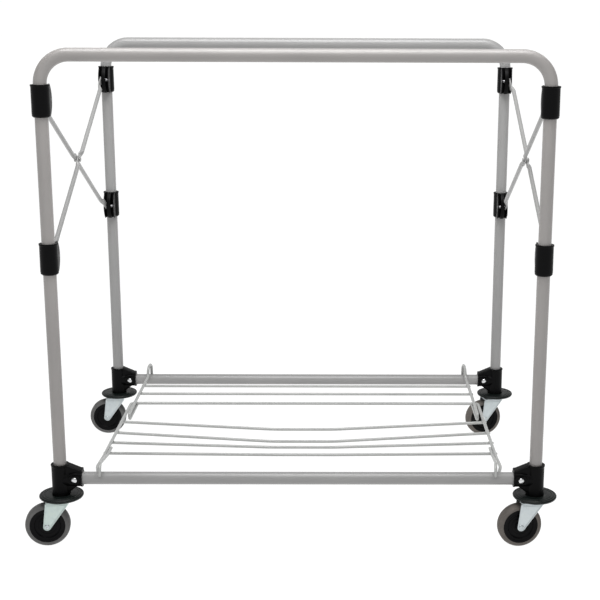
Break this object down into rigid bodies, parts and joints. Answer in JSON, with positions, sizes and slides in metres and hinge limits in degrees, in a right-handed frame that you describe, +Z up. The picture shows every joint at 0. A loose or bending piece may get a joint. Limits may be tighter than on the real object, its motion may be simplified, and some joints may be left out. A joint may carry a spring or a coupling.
{
  "type": "folding x-brace trolley frame",
  "caption": "Folding rolling frame: two tubular hoop side frames joined by crossed braces in sliding collars, a hinged wire shelf and swivel casters, for hanging a laundry bag.",
  "frame": {"origin": "on the floor under the middle of the whole object's bounding box", "axes": "+X along the hoops and crossbars, to the right seen from the front frame; +Y from the front frame to the rear frame; +Z up"},
  "size_m": [0.9336, 0.6618, 0.8611],
  "materials": {
    "tube_grey": "satin grey powder coat",
    "brace_grey": "satin grey powder coat",
    "wire_grey": "satin grey coated wire",
    "nylon": "black moulded nylon",
    "hub_plastic": "black moulded plastic",
    "zinc": "bright zinc plate",
    "rivet_steel": "bright",
    "tyre": "grey rubber"
  },
  "bodies": {
    "front_frame": {"front_hoop": "tube_grey", "front_left_leg": "tube_grey", "front_right_leg": "tube_grey", "front_crossbar": "tube_grey", "front_left_corner": "nylon", "front_right_corner": "nylon", "front_bumper_discs": "nylon", "front_left_upper_collar": "nylon", "front_right_upper_collar": "nylon", "front_hinge_pins": "rivet_steel", "front_corner_rivets": "rivet_steel", "front_caster_stems": "zinc"},
    "rear_frame": {"rear_hoop": "tube_grey", "rear_left_leg": "tube_grey", "rear_right_leg": "tube_grey", "rear_crossbar": "tube_grey", "rear_left_corner": "nylon", "rear_right_corner": "nylon", "rear_bumper_discs": "nylon", "rear_left_upper_collar": "nylon", "rear_right_upper_collar": "nylon", "rear_hinge_pins": "rivet_steel", "rear_corner_rivets": "rivet_steel", "rear_caster_stems": "zinc"},
    "left_brace_a": {"left_brace_a": "brace_grey", "left_brace_rivet": "rivet_steel"},
    "left_brace_b": {"left_brace_b": "brace_grey"},
    "front_left_slider": {"front_left_slider": "nylon", "front_left_slider_pin": "rivet_steel"},
    "front_left_caster": {"front_left_fork": "zinc", "front_left_axle": "zinc"},
    "front_left_wheel": {"front_left_hub": "hub_plastic", "front_left_tyre": "tyre"},
    "rear_left_slider": {"rear_left_slider": "nylon", "rear_left_slider_pin": "rivet_steel"},
    "rear_left_caster": {"rear_left_fork": "zinc", "rear_left_axle": "zinc"},
    "rear_left_wheel": {"rear_left_hub": "hub_plastic", "rear_left_tyre": "tyre"},
    "right_brace_a": {"right_brace_a": "brace_grey", "right_brace_rivet": "rivet_steel"},
    "right_brace_b": {"right_brace_b": "brace_grey"},
    "front_right_slider": {"front_right_slider": "nylon", "front_right_slider_pin": "rivet_steel"},
    "front_right_caster": {"front_right_fork": "zinc", "front_right_axle": "zinc"},
    "front_right_wheel": {"front_right_hub": "hub_plastic", "front_right_tyre": "tyre"},
    "rear_right_slider": {"rear_right_slider": "nylon", "rear_right_slider_pin": "rivet_steel"},
    "rear_right_caster": {"rear_right_fork": "zinc", "rear_right_axle": "zinc"},
    "rear_right_wheel": {"rear_right_hub": "hub_plastic", "rear_right_tyre": "tyre"},
    "shelf_front": {"shelf_front_frame": "wire_grey", "shelf_front_wires": "wire_grey", "shelf_front_hooks": "wire_grey"},
    "shelf_rear": {"shelf_rear_rails": "wire_grey", "shelf_rear_wires": "wire_grey"}
  },
  "joints": [
    {"name": "fold", "type": "hinge", "parent": "front_frame", "child": "left_brace_a", "pos_m": [-0.40175, -0.2625, 0.776], "axis": [-1, 0, 0], "range_deg": [0, 60]},
    {"name": "left_cross", "type": "hinge", "parent": "left_brace_a", "child": "left_brace_b", "pos_m": [-0.40175, 0, 0.645], "axis": [1, 0, 0], "range_deg": [0, 120]},
    {"name": "rear_frame_hinge", "type": "hinge", "parent": "left_brace_b", "child": "rear_frame", "pos_m": [-0.40175, 0.2625, 0.776], "axis": [-1, 0, 0], "range_deg": [0, 60]},
    {"name": "front_left_slide", "type": "hinge", "parent": "left_brace_b", "child": "front_left_slider", "pos_m": [-0.40175, -0.2625, 0.514], "axis": [-1, 0, 0], "range_deg": [0, 60]},
    {"name": "rear_left_slide", "type": "hinge", "parent": "left_brace_a", "child": "rear_left_slider", "pos_m": [-0.40175, 0.2625, 0.514], "axis": [1, 0, 0], "range_deg": [0, 60]},
    {"name": "right_fold", "type": "hinge", "parent": "front_frame", "child": "right_brace_a", "pos_m": [0.42825, -0.2625, 0.776], "axis": [-1, 0, 0], "range_deg": [0, 60]},
    {"name": "right_cross", "type": "hinge", "parent": "right_brace_a", "child": "right_brace_b", "pos_m": [0.42825, 0, 0.645], "axis": [1, 0, 0], "range_deg": [0, 120]},
    {"name": "front_right_slide", "type": "hinge", "parent": "right_brace_b", "child": "front_right_slider", "pos_m": [0.42825, -0.2625, 0.514], "axis": [-1, 0, 0], "range_deg": [0, 60]},
    {"name": "rear_right_slide", "type": "hinge", "parent": "right_brace_a", "child": "rear_right_slider", "pos_m": [0.42825, 0.2625, 0.514], "axis": [1, 0, 0], "range_deg": [0, 60]},
    {"name": "shelf_lift", "type": "hinge", "parent": "front_frame", "child": "shelf_front", "pos_m": [0.01325, -0.2925, 0.1235], "axis": [1, 0, 0], "range_deg": [0, 84]},
    {"name": "shelf_fold", "type": "hinge", "parent": "shelf_front", "child": "shelf_rear", "pos_m": [0.01325, 0.114, 0.1265], "axis": [-1, 0, 0], "range_deg": [0, 172]},
    {"name": "front_left_swivel", "type": "hinge", "parent": "front_frame", "child": "front_left_caster", "pos_m": [-0.40175, -0.2925, 0.0845], "axis": [0, 0, 1], "continuous": true},
    {"name": "front_left_roll", "type": "hinge", "parent": "front_left_caster", "child": "front_left_wheel", "pos_m": [-0.42756, -0.29567, 0.039], "axis": [-0.1219, 0.9925, 0], "continuous": true},
    {"name": "front_right_swivel", "type": "hinge", "parent": "front_frame", "child": "front_right_caster", "pos_m": [0.42825, -0.2925, 0.0845], "axis": [0, 0, 1], "continuous": true},
    {"name": "front_right_roll", "type": "hinge", "parent": "front_right_caster", "child": "front_right_wheel", "pos_m": [0.4025, -0.29612, 0.039], "axis": [-0.1392, 0.9903, 0], "continuous": true},
    {"name": "rear_left_swivel", "type": "hinge", "parent": "rear_frame", "child": "rear_left_caster", "pos_m": [-0.40175, 0.2925, 0.0845], "axis": [0, 0, 1], "continuous": true},
    {"name": "rear_left_roll", "type": "hinge", "parent": "rear_left_caster", "child": "rear_left_wheel", "pos_m": [-0.42775, 0.29205, 0.039], "axis": [-0.0175, 0.9998, 0], "continuous": true},
    {"name": "rear_right_swivel", "type": "hinge", "parent": "rear_frame", "child": "rear_right_caster", "pos_m": [0.42825, 0.2925, 0.0845], "axis": [0, 0, 1], "continuous": true},
    {"name": "rear_right_roll", "type": "hinge", "parent": "rear_right_caster", "child": "rear_right_wheel", "pos_m": [0.40292, 0.28665, 0.039], "axis": [-0.225, 0.9744, 0], "continuous": true}
  ],
  "couplings": [
    {"joint": "left_cross", "follows": "fold", "ratio": 2},
    {"joint": "rear_frame_hinge", "follows": "fold", "ratio": 1},
    {"joint": "front_left_slide", "follows": "fold", "ratio": 1},
    {"joint": "rear_left_slide", "follows": "fold", "ratio": 1},
    {"joint": "right_fold", "follows": "fold", "ratio": 1},
    {"joint": "right_cross", "follows": "fold", "ratio": 2},
    {"joint": "front_right_slide", "follows": "fold", "ratio": 1},
    {"joint": "rear_right_slide", "follows": "fold", "ratio": 1},
    {"joint": "shelf_lift", "follows": "fold", "ratio": 1.4},
    {"joint": "shelf_fold", "follows": "fold", "ratio": 2.8667}
  ]
}
